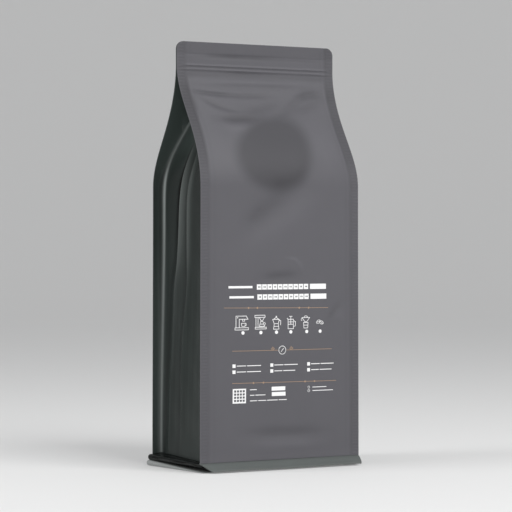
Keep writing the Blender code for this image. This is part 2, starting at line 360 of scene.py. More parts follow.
def strip_shade(x, z):
    """Darkness of the side seals, partly double film, on the shoulder mostly painted shade; the left strip
    widens mid-shoulder.
    """
    bulge = STRIP_BULGE * bell(z - STRIP_BULGE_HEIGHT, STRIP_BULGE_REACH) * (x < 0.0)
    strip = 1.0 - ease((root_x(z) - bulge - np.abs(x)) / STRIP_EDGE)
    left = along_line(z, LEFT_STRIP_SHADE, STRIP_SMOOTHING)
    right = along_line(z, RIGHT_STRIP_SHADE, STRIP_SMOOTHING)
    return np.where(x < 0.0, left, right) * strip


def zip_shade(x, z):
    """Painted shadow under the zip's ribs and at the zip's foot."""
    under_ribs = sum(bell(z - height + ZIP_SHADOW_DROP, ZIP_SHADOW_WIDTH) for height in ZIP_HEIGHTS)
    foot = bell(z - ZIP_FOOT, ZIP_FOOT_WIDTH) * between_seals(x, z, ZIP_SIDE_FADE)
    return ZIP_SHADOW * under_ribs * zip_reach(x, z) + ZIP_FOOT_SHADE * foot


def patch_shade(x, z):
    """The round dark patch of the shoulder, partly painted shade, and its crescent of painted shade."""
    patch = ease((1.0 - dent_share(x, z, PATCH_RADII)) / PATCH_SOFTNESS)
    return PATCH_SHADE * patch + CRESCENT_SHADE * fold_mask(x, z, *CRESCENT, CRESCENT_TAPER)


def face_shade(x, z, front):
    """How much darker a face film looks: mostly painted shade, in its folds, on and beside its seals and on
    the round patch, with painted light at its foot.
    """
    folds = FRONT_FOLDS if front else BACK_FOLDS
    shade = sum(
        dark * fold_mask(x, z, start, end, bow, width * FOLD_SHADE_SPREAD)
        for start, end, bow, width, _, dark in folds
    )
    shade = shade + ROOT_SHADE * bell(np.abs(x) - root_x(z) - ROOT_SHADE_WIDTH, ROOT_SHADE_WIDTH)
    shade = shade + RUNG_SHADE * seal_mask(x, z) * (1.0 - rung_wave(z))
    shade = shade + strip_shade(x, z) + HEAT_LINE_SHADE * heat_line(x, z)
    shade = shade + zip_shade(x, z) + TOP_SEAL_SHADE * top_mask(z)
    shade = shade - FOOT_LIGHT * bell(z - FOOT_HEIGHT, FOOT_LIGHT_REACH)
    return shade + patch_shade(x, z) if front else shade


def edge_rub(x, z):
    """Paler film along its cut edges."""
    side = bell(tip_x(z) - np.abs(x), CUT_EDGE_WIDTH)
    top = bell(BAG_HEIGHT - z, CUT_EDGE_WIDTH)
    return CUT_EDGE_PALENESS * np.maximum(side, top)


# Shader groups that several finishes share

GRAIN_DETAIL = 3.0
GRAIN_ROUGHNESS = 0.6
WAVE_ROUGHNESS = 0.5
GRAIN_HEIGHT = 0.25
GRAIN_TONE = 0.35
GLOSS_LOSS = 0.25


def new_group(name, inputs, outputs):
    """An empty node group with named sockets; returns it with its input and output nodes."""
    group = bpy.data.node_groups.new(name, "ShaderNodeTree")
    for socket, value in inputs.items():
        kind = "NodeSocketColor" if isinstance(value, tuple) else "NodeSocketFloat"
        group.interface.new_socket(socket, in_out="INPUT", socket_type=kind).default_value = value
    for socket, kind in outputs.items():
        group.interface.new_socket(socket, in_out="OUTPUT", socket_type="NodeSocket" + kind)
    return group, group.nodes.new("NodeGroupInput"), group.nodes.new("NodeGroupOutput")


def add_node(tree, kind, **settings):
    """A node with its settings, given by property name."""
    node = tree.nodes.new("ShaderNode" + kind)
    for name, value in settings.items():
        setattr(node, name, value)
    return node


def feed(tree, socket, source):
    """Links a socket to another socket, or sets its value."""
    if isinstance(source, bpy.types.NodeSocket):
        tree.links.new(source, socket)
    else:
        socket.default_value = source


def combine(tree, operation, *sources):
    """One Math node; returns its output."""
    node = add_node(tree, "Math", operation=operation)
    for socket, source in zip(node.inputs, sources):
        feed(tree, socket, source)
    return node.outputs[0]


def noise_at(tree, scale, roughness):
    """Noise over the object's own metres, with features of about 1/scale."""
    noise = add_node(tree, "TexNoise")
    feed(tree, noise.inputs["Vector"], add_node(tree, "TexCoord").outputs["Object"])
    feed(tree, noise.inputs["Scale"], scale)
    feed(tree, noise.inputs["Detail"], GRAIN_DETAIL)
    feed(tree, noise.inputs["Roughness"], roughness)
    return noise.outputs["Fac"]


def make_film_grain():
    """Fine grain of laminated film with slow waves in it: a height for bump and a mask for tone."""
    inputs = {"Grain Scale": 2600.0, "Wave Scale": 45.0, "Wave Share": 0.5}
    group, given, result = new_group("film_grain", inputs, {"Height": "Float", "Tone": "Float"})
    fine = noise_at(group, given.outputs["Grain Scale"], GRAIN_ROUGHNESS)
    slow = noise_at(group, given.outputs["Wave Scale"], WAVE_ROUGHNESS)
    waves = combine(group, "MULTIPLY", slow, given.outputs["Wave Share"])
    feed(group, result.inputs["Height"], combine(group, "MULTIPLY_ADD", fine, GRAIN_HEIGHT, waves))
    slow_tone = combine(group, "MULTIPLY", slow, 1.0 - GRAIN_TONE)
    feed(group, result.inputs["Tone"], combine(group, "MULTIPLY_ADD", fine, GRAIN_TONE, slow_tone))
    return group


def make_film_tone():
    """A film's colour: varied by the grain, darker where shade is painted and paler where highlights and
    pale edges are painted.
    """
    inputs = {
        "Film": (0.1, 0.1, 0.1, 1.0),
        "Rubbed": (0.3, 0.3, 0.3, 1.0),
        "Grain": 0.5,
        "Spread": 0.1,
        "Shade": 0.0,
        "Rub": 0.0,
    }
    group, given, result = new_group("film_tone", inputs, {"Colour": "Color", "Gloss Loss": "Float"})
    centred = combine(group, "SUBTRACT", given.outputs["Grain"], 0.5)
    level = combine(group, "MULTIPLY_ADD", centred, given.outputs["Spread"], 1.0)
    level = combine(group, "MULTIPLY", level, combine(group, "SUBTRACT", 1.0, given.outputs["Shade"]))
    level_colour = add_node(group, "CombineColor")
    for socket in level_colour.inputs:
        feed(group, socket, level)
    tint = add_node(group, "Mix", data_type="RGBA", blend_type="MULTIPLY")
    feed(group, tint.inputs["Factor"], 1.0)
    feed(group, tint.inputs["A"], given.outputs["Film"])
    feed(group, tint.inputs["B"], level_colour.outputs["Color"])
    paled = add_node(group, "Mix", data_type="RGBA")
    feed(group, paled.inputs["Factor"], given.outputs["Rub"])
    feed(group, paled.inputs["A"], tint.outputs["Result"])
    feed(group, paled.inputs["B"], given.outputs["Rubbed"])
    feed(group, result.inputs["Colour"], paled.outputs["Result"])
    feed(group, result.inputs["Gloss Loss"], combine(group, "MULTIPLY", given.outputs["Rub"], GLOSS_LOSS))
    return group


def make_seal_knurl():
    """Small cross ribs that a sealing bar presses into film, as a height."""
    inputs = {"Mask": 0.0, "Lines Per Metre": 1250.0}
    group, given, result = new_group("seal_knurl", inputs, {"Height": "Float"})
    place = add_node(group, "SeparateXYZ")
    feed(group, place.inputs[0], add_node(group, "TexCoord").outputs["Object"])
    turns = combine(group, "MULTIPLY", given.outputs["Lines Per Metre"], 2.0 * math.pi)
    wave = combine(group, "SINE", combine(group, "MULTIPLY", place.outputs["X"], turns))
    feed(group, result.inputs["Height"], combine(group, "MULTIPLY", wave, given.outputs["Mask"]))
    return group


FILM_GRAIN = make_film_grain()
FILM_TONE = make_film_tone()
SEAL_KNURL = make_seal_knurl()


# Finishes

KNURL_HEIGHT = 0.35
ROUGHNESS_SPREAD = 0.10

# Name: colour, pale colour where highlights and pale edges are painted, roughness, specular level, depth of
# the grain in mm, spread of the tone
FILMS_AND_INKS = {
    "matt_grey_film": ((0.101, 0.099, 0.1095), (0.21, 0.21, 0.22), 0.56, 0.22, 0.05, 0.10),
    "satin_dark_green_film": ((0.0190, 0.0238, 0.0222), (0.250, 0.272, 0.264), 0.24, 0.09, 0.02, 0.10),
    "sage_grey_film": ((0.098, 0.109, 0.1055), (0.22, 0.23, 0.22), 0.42, 0.40, 0.03, 0.10),
    # The lips' finish is the sage film made lighter, as painted light
    "sage_grey_film_lip_painted_light": ((0.205, 0.215, 0.211), (0.36, 0.37, 0.365), 0.34, 0.40, 0.03, 0.10),
    "white_ink": ((0.86, 0.86, 0.86), (0.9, 0.9, 0.9), 0.50, 0.30, 0.02, 0.04),
    "tan_ink": ((0.36, 0.25, 0.17), (0.4, 0.3, 0.2), 0.45, 0.30, 0.02, 0.08),
    "dark_mark_ink": ((0.10, 0.10, 0.11), (0.2, 0.2, 0.2), 0.50, 0.30, 0.02, 0.08),
}


def painted_mask(tree, name):
    """A mask that a piece carries on its points."""
    return add_node(tree, "Attribute", attribute_name=name).outputs["Fac"]


def place_group(tree, group, **sources):
    """A shared group in a finish."""
    node = add_node(tree, "Group", node_tree=group)
    for name, source in sources.items():
        feed(tree, node.inputs[name], source)
    return node.outputs


def make_film(name, colour, rubbed, roughness, specular, grain_depth, spread):
    """Laminated film or ink: tone from grain, painted shade and painted highlights, fine bump, and ribs
    pressed in at its seals.
    """
    material = bpy.data.materials.new(name)
    material.use_nodes = True
    tree = material.node_tree
    shader = tree.nodes["Principled BSDF"]
    grain = place_group(tree, FILM_GRAIN)
    tone = place_group(
        tree,
        FILM_TONE,
        Film=(*colour, 1.0),
        Rubbed=(*rubbed, 1.0),
        Grain=grain["Tone"],
        Spread=spread,
        Shade=painted_mask(tree, "shade"),
        Rub=painted_mask(tree, "rub"),
    )
    knurl = place_group(tree, SEAL_KNURL, Mask=painted_mask(tree, "seal"))
    bump = add_node(tree, "Bump")
    bump.inputs["Strength"].default_value = 1.0
    bump.inputs["Distance"].default_value = grain_depth * MM
    height = combine(tree, "MULTIPLY_ADD", knurl["Height"], KNURL_HEIGHT, grain["Height"])
    feed(tree, bump.inputs["Height"], height)
    feed(tree, shader.inputs["Normal"], bump.outputs["Normal"])
    feed(tree, shader.inputs["Base Color"], tone["Colour"])
    smoothest = roughness - ROUGHNESS_SPREAD / 2
    varied = combine(tree, "MULTIPLY_ADD", grain["Tone"], ROUGHNESS_SPREAD, smoothest)
    feed(tree, shader.inputs["Roughness"], combine(tree, "ADD", varied, tone["Gloss Loss"]))
    shader.inputs["Specular IOR Level"].default_value = specular
    material.diffuse_color = (*colour, 1.0)
    return material


FINISH = {name: make_film(name, *looks) for name, looks in FILMS_AND_INKS.items()}


# Making of meshes, with the angles in degrees above which their edges look sharp

SHARP_ANGLE = 35.0
ROUND_SHARP_ANGLE = 50.0
PLATE_SHARP_ANGLE = 30.0


def grid_quads(rows, columns, closed=False):
    """Corner numbers of the quads of a grid of points; closed joins its last column to its first."""
    index = np.arange(rows * columns).reshape(rows, columns)
    after = np.roll(index, -1, axis=1) if closed else index[:, 1:]
    here = index if closed else index[:, :-1]
    return np.stack([here[:-1], after[:-1], after[1:], here[1:]], axis=-1).reshape(-1, 4)


def tube_faces(rows, columns, flip=False):
    """Faces of a tube made of closed rows, with a polygon over each end; flip turns them over."""
    faces = grid_quads(rows, columns, closed=True).tolist()
    faces.append(list(range(columns))[::-1])
    faces.append(list(range((rows - 1) * columns, rows * columns)))
    return [face[::-1] for face in faces] if flip else faces


def make_piece(name, points, faces, finish, slot, sharp=SHARP_ANGLE):
    """A named mesh that rides on the bag; faces may be quads or polygons."""
    mesh = bpy.data.meshes.new(name)
    mesh.from_pydata(points, [], faces)
    mesh.update()
    mesh.materials.append(FINISH[finish])
    mesh.shade_smooth()
    mesh.set_sharp_from_angle(angle=math.radians(sharp))
    piece = bpy.data.objects.new(name, mesh)
    bpy.context.scene.collection.objects.link(piece)
    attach(piece, "root")
    return piece


def make_shell(name, outer, inner, finish, slot, flip=False):
    """A closed film between two grids of points; flip turns its faces over."""
    rows, columns = outer.shape[:2]
    count = rows * columns
    points = np.concatenate([outer.reshape(-1, 3), inner.reshape(-1, 3)])
    front = grid_quads(rows, columns)
    index = np.arange(count).reshape(rows, columns)
    rim = np.concatenate([index[0], index[1:, -1], index[-1, -2::-1], index[-2:0:-1, 0]])
    after = np.roll(rim, -1)
    walls = np.stack([rim, rim + count, after + count, after], axis=-1)
    faces = np.concatenate([front, front[:, ::-1] + count, walls])
    if flip:
        faces = faces[:, ::-1]
    return make_piece(name, points.tolist(), faces.tolist(), finish, slot)


def paint(piece, **masks):
    """Gives the points of a piece its masks; one number, or one side of a film, is repeated for the rest."""
    for name, values in masks.items():
        values = np.asarray(values, np.float32).ravel()
        layer = piece.data.attributes.new(name, "FLOAT", "POINT")
        layer.data.foreach_set("value", np.resize(values, len(piece.data.vertices)))


# Face films


def film_rows():
    """Heights of a face film's rows, close together round the top corners."""
    corner = BAG_HEIGHT - TOP_CORNER_RADIUS
    turn = np.linspace(0.0, math.pi / 2, CORNER_ROWS)
    body = np.linspace(FOOT_HEIGHT, corner, round((corner - FOOT_HEIGHT) / ROW_STEP) + 1)
    return np.concatenate([body[:-1], corner + TOP_CORNER_RADIUS * np.sin(turn)])


def film_places(rows):
    """Places across and up of a face film's points."""
    z = rows[:, None]
    tip, root = tip_x(z), root_x(z)
    body = root * np.linspace(-1.0, 1.0, BODY_COLUMNS)
    fin = root + (tip - root) * np.linspace(0.0, 1.0, FIN_COLUMNS + 1)[1:]
    x = np.concatenate([-fin[:, ::-1], body, fin], axis=1)
    return x, np.broadcast_to(z, x.shape)


def make_face_film(name, node, front):
    """The front or back film, thickened inwards, which meets the other at the top edge."""
    x, z = film_places(film_rows())
    out = face_out(x, z, front)
    meeting = ease((z - (BAG_HEIGHT - TOP_LAP)) / (0.5 * TOP_LAP))
    inner = out - FILM - (out - FILM - FILM_AIR) * meeting
    side = -1.0 if front else 1.0
    outer_points = np.stack([x, side * out, z], axis=-1)
    inner_points = np.stack([x, side * inner, z], axis=-1)
    piece = make_shell(name, outer_points, inner_points, "matt_grey_film", "matte_grey_film", flip=not front)
    seal = np.maximum(seal_mask(x, z), top_mask(z))
    paint(piece, shade=face_shade(x, z, front), rub=edge_rub(x, z), seal=[seal, np.zeros_like(seal)])
    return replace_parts(piece, node)


# Filled pouch with its side gussets

WEB = 0.35 * MM
WEB_INSET = 0.2 * MM
POUCH_ROW_STEP = 1.6 * MM
FIN_STEPS = 13
CORNER_STEPS = 8
FOLD_STEPS = 36
FACE_STEPS = 15
FACE_CLEARANCE = 1.9 * MM
FACE_CLEARANCE_POWER = 8
BACKING_GAP = 0.2 * MM
TUCK_SOFTNESS = 11.0 * MM
FOOT_SWELL = 1.0 * MM
FOOT_SWELL_START = 20.0 * MM
FOOT_SWELL_FADE = 110.0 * MM

# The round crease at each edge of a gusset
CREASE_RADIUS_LOW = 3.2 * MM
CREASE_RADIUS_HIGH = 5.3 * MM
CREASE_RADIUS_TUCKED = 2.0 * MM
CREASE_GROWTH_START = 70.0 * MM
CREASE_GROWTH_REACH = 110.0 * MM
CREASE_TUCK_REACH = 26.0 * MM
CREASE_LARGEST_SHARE = 0.8

# Two lapped folds run down each gusset: places as (height in mm, share of the way from back to front)
BACK_FOLD_LINE = (
    (8, 0.125), (30, 0.14), (66, 0.165), (97, 0.21), (140, 0.24), (164, 0.345), (205, 0.39), (232, 0.465),
    (262, 0.57),
)
FRONT_FOLD_LINE = (
    (22, 0.42), (46, 0.44), (77, 0.42), (107, 0.455), (138, 0.55), (205, 0.55), (232, 0.625), (262, 0.73),
)

# How far the folds stand out, as (height in mm, mm), and how far their front sides run, as shares of the way
BACK_FOLD_RISE = ((8, 0.6), (135, 1.0), (168, 3.0), (235, 3.0), (288, 0.4))
FRONT_FOLD_RISE = ((22, 0.0), (45, 0.8), (129, 1.4), (165, 1.8), (235, 1.5), (288, 0.3))
FRONT_FOLD_RUN = ((67, 0.090), (129, 0.060), (165, 0.035))
BACK_FOLD_RUN = 0.075
FOLD_WALL = 0.005
FOLD_WALL_LIMIT = 30.0
FRONT_COLUMN_POWER = 1.7
FIELD_SINK = 0.8
FIELD_SINK_EDGE = 0.3
HOLLOW_DEPTH = 0.6
HOLLOW_PLACE = 0.05
WANDER_RISE = 0.10
WANDER_ACROSS = 17.0
WANDER_SLOW = 60.0
WANDER_FAST = 95.0
RIGHT_PRESS = 0.8
RELIEF_FOOT_FADE = 22.0 * MM
RELIEF_BACK_EDGE = 0.05
RELIEF_FRONT_EDGE = 0.06


def tuck(z):
    """How far the gusset has moved in between the faces; it starts softly at the foot of the shoulder."""
    above = z - SHOULDER_LOW
    bend = (above + TUCK_SOFTNESS) ** 2 / (4.0 * TUCK_SOFTNESS)
    above = np.where(np.abs(above) < TUCK_SOFTNESS, bend, np.maximum(above, 0.0))
    share = np.minimum(above / (TUCK_TOP - SHOULDER_LOW), 1.0)
    return TUCK_SLOPE * share + TUCK_LAST * share**TUCK_LAST_POWER


def web_y(z):
    """How far a gusset's sealed strips stand from the middle plane, just behind the face films."""
    return seal_y(z) - FILM - FILM_AIR - WEB


def field_x(z):
    """Half the width of the pouch at the middle of its gussets, a little fuller near the foot."""
    swell = FOOT_SWELL * (1.0 - ease((z - FOOT_SWELL_START) / FOOT_SWELL_FADE))
    return root_x(z) - tuck(z) + swell


def crease_radius(z):
    """Radius of the round crease where a gusset turns into its sealed strips."""
    growth = ease((z - CREASE_GROWTH_START) / CREASE_GROWTH_REACH)
    body = CREASE_RADIUS_LOW + (CREASE_RADIUS_HIGH - CREASE_RADIUS_LOW) * growth
    tucked = body + (CREASE_RADIUS_TUCKED - body) * ease((z - SHOULDER_LOW) / CREASE_TUCK_REACH)
    return np.minimum(tucked, CREASE_LARGEST_SHARE * web_y(z))


def crease_place(z, turn):
    """A place on the round crease, by its angle from the sealed strip: distance out and y."""
    radius = crease_radius(z)
    return field_x(z) + radius * (1.0 - np.sin(turn)), web_y(z) - radius * (1.0 - np.cos(turn))


def lap_fold(offset, run):
    """A fold that laps over: a steep wall on its back side, running out towards the front."""
    limited = np.clip(offset / FOLD_WALL, -FOLD_WALL_LIMIT, FOLD_WALL_LIMIT)
    return np.exp(-np.maximum(offset, 0.0) / run) / (1.0 + np.exp(-limited))


def gusset_shares(z):
    """Shares of the way over a gusset for its columns, from the back, close together at both folds."""
    back, fore = along_line(z, BACK_FOLD_LINE), along_line(z, FRONT_FOLD_LINE)
    step = np.linspace(0.0, 1.0, FOLD_STEPS)[None, :]
    behind = back * (1.0 - (1.0 - step) ** 2)
    between = back + (fore - back) * (0.5 - 0.5 * np.cos(math.pi * step))
    before = fore + (1.0 - fore) * step**FRONT_COLUMN_POWER
    return np.concatenate([behind[:, :-1], between[:, :-1], before], axis=1)


def gusset_relief(share, z, side):
    """Folds of a gusset, outward; the right one is pressed a little flatter."""
    back, fore = share - along_line(z, BACK_FOLD_LINE), share - along_line(z, FRONT_FOLD_LINE)
    folds = along_line(z, BACK_FOLD_RISE) * lap_fold(back, BACK_FOLD_RUN)
    folds = folds + along_line(z, FRONT_FOLD_RISE) * lap_fold(fore, along_line(z, FRONT_FOLD_RUN))
    folds = folds - FIELD_SINK * ease(share / FIELD_SINK_EDGE) * ease((1.0 - share) / FIELD_SINK_EDGE)
    folds = folds - HOLLOW_DEPTH * bell(back + HOLLOW_PLACE, HOLLOW_PLACE)
    wander = np.sin(share * WANDER_ACROSS + z * WANDER_SLOW + side) * np.sin(z * WANDER_FAST + 2.0 * side)
    press = 1.0 if side < 0 else RIGHT_PRESS
    held = ease((z - FOOT_HEIGHT) / RELIEF_FOOT_FADE)
    held = held * ease(share / RELIEF_BACK_EDGE) * ease((1.0 - share) / RELIEF_FRONT_EDGE)
    return (folds * press + WANDER_RISE * wander) * MM * held


def gusset_path(z, side):
    """Places of a gusset from the front seal's tip to the back one's, in rows: distance out and y."""
    z = z[:, None]
    field, radius, tip = field_x(z), crease_radius(z), tip_x(z) - WEB_INSET
    fin = tip + (field + radius - tip) * np.linspace(0.0, 1.0, FIN_STEPS)
    fin_y = np.broadcast_to(web_y(z), fin.shape)
    corner, corner_y = crease_place(z, np.linspace(0.0, math.pi / 2, CORNER_STEPS + 2)[1:-1])
    share = gusset_shares(z)[:, ::-1]
    panel = field + gusset_relief(share, z, side)
    panel_y = (web_y(z) - radius) * (1.0 - 2.0 * share)
    out = np.concatenate([fin, corner, panel, corner[:, ::-1], fin[:, ::-1]], axis=1)
    y = np.concatenate([-fin_y, -corner_y, panel_y, corner_y[:, ::-1], fin_y], axis=1)
    return out, y


def face_backing(z, side):
    """Coarse points of the pouch behind a face film, from the left tip to the right one."""
    z = z[:, None]
    tip, root = tip_x(z) - WEB_INSET, root_x(z)
    x = np.concatenate([-tip, root * np.linspace(-1.0, 1.0, FACE_STEPS), tip], axis=1)
    out = seal_y(z) + crown(x, z) - FILM - FILM_AIR
    held = 1.0 - np.minimum(1.0, np.abs(x) / root) ** FACE_CLEARANCE_POWER
    out = out - np.minimum(FACE_CLEARANCE, 0.5 * out) * held - BACKING_GAP * (np.abs(x) < tip) * (held > 0)
    return x, side * out


# Painted light and shade of the gussets: how bright the painted highlights of the creases, their flanks and
# the folds' crests are, how much painted light the sealed strips get, and how much painted shade lies round
# the folds, all by height in mm
CREASE_HIGHLIGHT = (
    (8, 0.42), (60, 0.45), (110, 0.45), (150, 0.57), (190, 0.79), (215, 0.87), (232, 0.76), (262, 0.74),
    (300, 0.5),
)
CREASE_FLANK_HIGHLIGHT = (
    (8, 0.14), (60, 0.17), (110, 0.15), (145, 0.12), (170, 0.06), (210, 0.06), (228, 0.10), (245, 0.15),
    (300, 0.13),
)
CREST_HIGHLIGHT = (
    (8, 0.02), (60, 0.06), (100, 0.12), (140, 0.20), (165, 0.53), (210, 0.57), (226, 0.28), (240, 0.02),
    (300, 0.0),
)
STRIP_LIGHT = (
    (8, 1.9), (60, 2.1), (110, 2.3), (140, 2.0), (170, 1.3), (215, 1.1), (230, 1.9), (242, 2.3), (270, 2.6),
    (300, 2.6),
)
BACK_FOLD_SHADE = (
    (8, 0.50), (30, 0.50), (60, 0.35), (107, 0.25), (138, 0.20), (165, 0.30), (185, 0.68), (205, 0.72),
    (222, 0.88), (240, 0.85), (256, 0.40), (288, 0.0),
)
BACK_FIELD_SHADE = (
    (170, 0.0), (192, 0.10), (208, 0.20), (230, 0.20), (240, -0.30), (256, -0.45), (300, -0.30),
)
FRONT_FIELD_SHADE = (
    (110, -0.14), (150, 0.0), (180, 0.18), (215, 0.24), (231, 0.48), (246, 0.48), (256, 0.30), (272, 0.0),
)
BETWEEN_FOLDS_SHADE = ((60, 0.15), (140, 0.22), (180, 0.50), (225, 0.55), (245, 0.40), (262, 0.10))

CREASE_WIDTH = 1.4 * MM
FLANK_WIDTH = 4.6 * MM
CREASE_LINE_LOW = 69.0
CREASE_LINE_HIGH = 78.0
CREASE_LINE_START = 90.0 * MM
CREASE_LINE_REACH = 90.0 * MM
BACK_CREST_RUN = 0.07
FRONT_CREST_RUN = 0.032
FRONT_CREST_SHARE = 0.62
BACK_SHADOW_PLACE = 0.050
BACK_SHADOW_WIDTH = 0.032
FRONT_SHADOW_PLACE = 0.045
FRONT_SHADOW_WIDTH = 0.034
FRONT_FIELD_START = 0.03
FIELD_EDGE = 0.05
GUSSET_MARGIN = 6.0 * MM
STRIP_LIGHT_EDGE = 1.2 * MM
TUCK_LIGHT = 1.0
TUCK_LIGHT_START = 235.0 * MM
TUCK_LIGHT_REACH = 40.0 * MM

# Painted shade and light of fine upright streaks in the lower half
STREAK_SHADE = 0.16
STREAKS_FINE = 82.0
STREAKS_BROAD = 33.0
STREAK_SWAY = 1.1
STREAK_SWAY_HEIGHT = 31.0 * MM
STREAK_DRIFT_HEIGHT = 47.0 * MM
STREAK_TOP = 165.0 * MM
STREAK_TOP_FADE = 30.0 * MM
STREAK_FOOT = 14.0 * MM
STREAK_FOOT_FADE = 20.0 * MM
STREAK_EDGE = 0.04


def fin_mask(x, z):
    """1 on the strips of gusset film that are welded to the faces."""
    return ease((np.abs(x) - root_x(z)) / SEAL_EDGE)


def across_gusset(y, z):
    """Share of the way over a gusset, from its back edge to its front one."""
    return (1.0 - y / web_y(z)) / 2.0


def on_gusset(x, y, z):
    """True on a gusset between its sealed strips."""
    return (np.abs(x) > root_x(z) - tuck(z) - GUSSET_MARGIN) & (np.abs(y) < web_y(z))


def gusset_rub(x, y, z):
    """Painted highlights along a gusset's folds and along the round creases at its edges."""
    share = across_gusset(y, z)
    crests = lap_fold(share - along_line(z, BACK_FOLD_LINE), BACK_CREST_RUN)
    front_crest = lap_fold(share - along_line(z, FRONT_FOLD_LINE), FRONT_CREST_RUN)
    crests = crests + FRONT_CREST_SHARE * front_crest
    rise = ease((z - CREASE_LINE_START) / CREASE_LINE_REACH)
    turn = np.radians(CREASE_LINE_LOW + (CREASE_LINE_HIGH - CREASE_LINE_LOW) * rise)
    crease_out, crease_y = crease_place(z, turn)
    distance = np.hypot(np.abs(x) - crease_out, np.abs(y) - crease_y)
    crease = along_line(z, CREASE_HIGHLIGHT) * bell(distance, CREASE_WIDTH)
    flank = along_line(z, CREASE_FLANK_HIGHLIGHT) * bell(distance, FLANK_WIDTH)
    return along_line(z, CREST_HIGHLIGHT) * crests * on_gusset(x, y, z) + crease + flank


def streaks(share, z):
    """Fine upright streaks of a gusset's lower half, in front of its back fold, painted as shade and light.
    """
    fine = np.sin(STREAKS_FINE * share + STREAK_SWAY * np.sin(z / STREAK_SWAY_HEIGHT))
    broad = np.sin(STREAKS_BROAD * share + z / STREAK_DRIFT_HEIGHT)
    low = ease((STREAK_TOP - z) / STREAK_TOP_FADE) * ease((z - STREAK_FOOT) / STREAK_FOOT_FADE)
    return fine * broad * low * ease((share - along_line(z, BACK_FOLD_LINE)) / STREAK_EDGE)


def gusset_shade(x, y, z):
    """Painted shade round the folds; painted light on the sealed strips and in the tuck."""
    share = across_gusset(y, z)
    past_back = share - along_line(z, BACK_FOLD_LINE)
    past_front = share - along_line(z, FRONT_FOLD_LINE)
    dark = along_line(z, BACK_FOLD_SHADE) * bell(past_back + BACK_SHADOW_PLACE, BACK_SHADOW_WIDTH)
    between = bell(past_front + FRONT_SHADOW_PLACE, FRONT_SHADOW_WIDTH)
    dark = dark + along_line(z, BETWEEN_FOLDS_SHADE) * between
    dark = dark + along_line(z, FRONT_FIELD_SHADE) * ease((past_front - FRONT_FIELD_START) / FIELD_EDGE)
    dark = dark + along_line(z, BACK_FIELD_SHADE) * ease(-past_back / FIELD_EDGE)
    dark = dark + STREAK_SHADE * streaks(share, z)
    strip = ease(1.0 - (web_y(z) - np.abs(y)) / STRIP_LIGHT_EDGE)
    tucked = TUCK_LIGHT * ease((z - TUCK_LIGHT_START) / TUCK_LIGHT_REACH)
    light = strip * along_line(z, STRIP_LIGHT) + (1.0 - strip) * tucked
    return dark * on_gusset(x, y, z) - light


def make_pouch():
    """The pouch: its two gussets, folded at the shoulder, and the hidden sides behind the face films."""
    top = BAG_HEIGHT - TOP_LAP
    z = np.linspace(FOOT_HEIGHT, top, round((top - FOOT_HEIGHT) / POUCH_ROW_STEP) + 1)
    front_x, front_y = face_backing(z, -1.0)
    back_x, back_y = face_backing(z, 1.0)
    right_out, right_y = gusset_path(z, 1.0)
    left_out, left_y = gusset_path(z, -1.0)
    x = np.concatenate([front_x, right_out, back_x[:, ::-1], -left_out[:, ::-1]], axis=1)
    y = np.concatenate([front_y, right_y, back_y[:, ::-1], left_y[:, ::-1]], axis=1)
    height = np.broadcast_to(z[:, None], x.shape)
    points = np.stack([x, y, height], axis=-1).reshape(-1, 3)
    looks = "satin_dark_green_film", "dark_green_film", ROUND_SHARP_ANGLE
    piece = make_piece("gusset_pouch", points.tolist(), tube_faces(*x.shape), *looks)
    paint(piece, rub=gusset_rub(x, y, height), shade=gusset_shade(x, y, height), seal=fin_mask(x, height))
    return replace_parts(piece, "pouch")


# Foot: base film, front and back skirts, side lips and the dark rolls above them

FOOT_INSET = 1.0 * MM
SKIRT_TOP = FOOT_HEIGHT - 0.3 * MM
SKIRT_FILM = 0.9 * MM
SKIRT_CLEARANCE = 0.6 * MM
SKIRT_UNDERLAP = 0.8 * MM
SKIRT_CURVE = 0.28
SKIRT_SETBACK = 0.3 * MM
SKIRT_LEFT_MITRE = 7.5 * MM
SKIRT_RIGHT_MITRE = 1.8 * MM
SKIRT_RIGHT_POWER = 3
SKIRT_WAVE = 0.25 * MM
SKIRT_WAVE_RATE = 9.0
SKIRT_WAVE_START = 0.2
SKIRT_STEPS = 60
PROFILE_STEPS = 14
# Painted highlights along a skirt's free edge and its bend, and painted shade just below the face
SKIRT_HIGHLIGHT = 0.25
SKIRT_HIGHLIGHT_WIDTH = 0.08
BEND_HIGHLIGHT_PLACE = 0.04
BEND_HIGHLIGHT_WIDTH = 0.05
SKIRT_SHADE = 0.10
SKIRT_SHADE_PLACE = 0.12
SKIRT_SHADE_WIDTH = 0.10

BASE_INSET = 2.5 * MM
BASE_DROP = 0.2 * MM
BASE_CORNER = 4.0 * MM
BASE_CORNER_STEPS = 7
BASE_EDGE = ((0.0, 3.0), (0.4, 1.2), (1.2, 0.3))
# Painted shade on the base floor's sides, deep under the skirts and rolls
BASE_SHADE = 0.88
BASE_SHADE_START = 0.3 * MM
BASE_SHADE_REACH = 0.6 * MM

# Sections of the lips and rolls in mm: how far out they reach, underside, top and top of the root
LIP_BACK = (LIP_EDGE / MM, 0.2, 4.5, 4.2)
LIP_FRONT = (68.5, 0.2, 0.8, 0.7)
LIP_ROOT = 58.0
LIP_THINNING = 1.2
# Negative: painted light over each whole lip, besides its lighter finish
LIP_SHADE = -0.28
ROLL_BACK = (72.6, 4.3, 8.9, 12.0)
ROLL_FRONT = (67.6, 4.2, 6.9, 9.0)
ROLL_ROOT = 62.0
ROLL_TAIL = 2.0
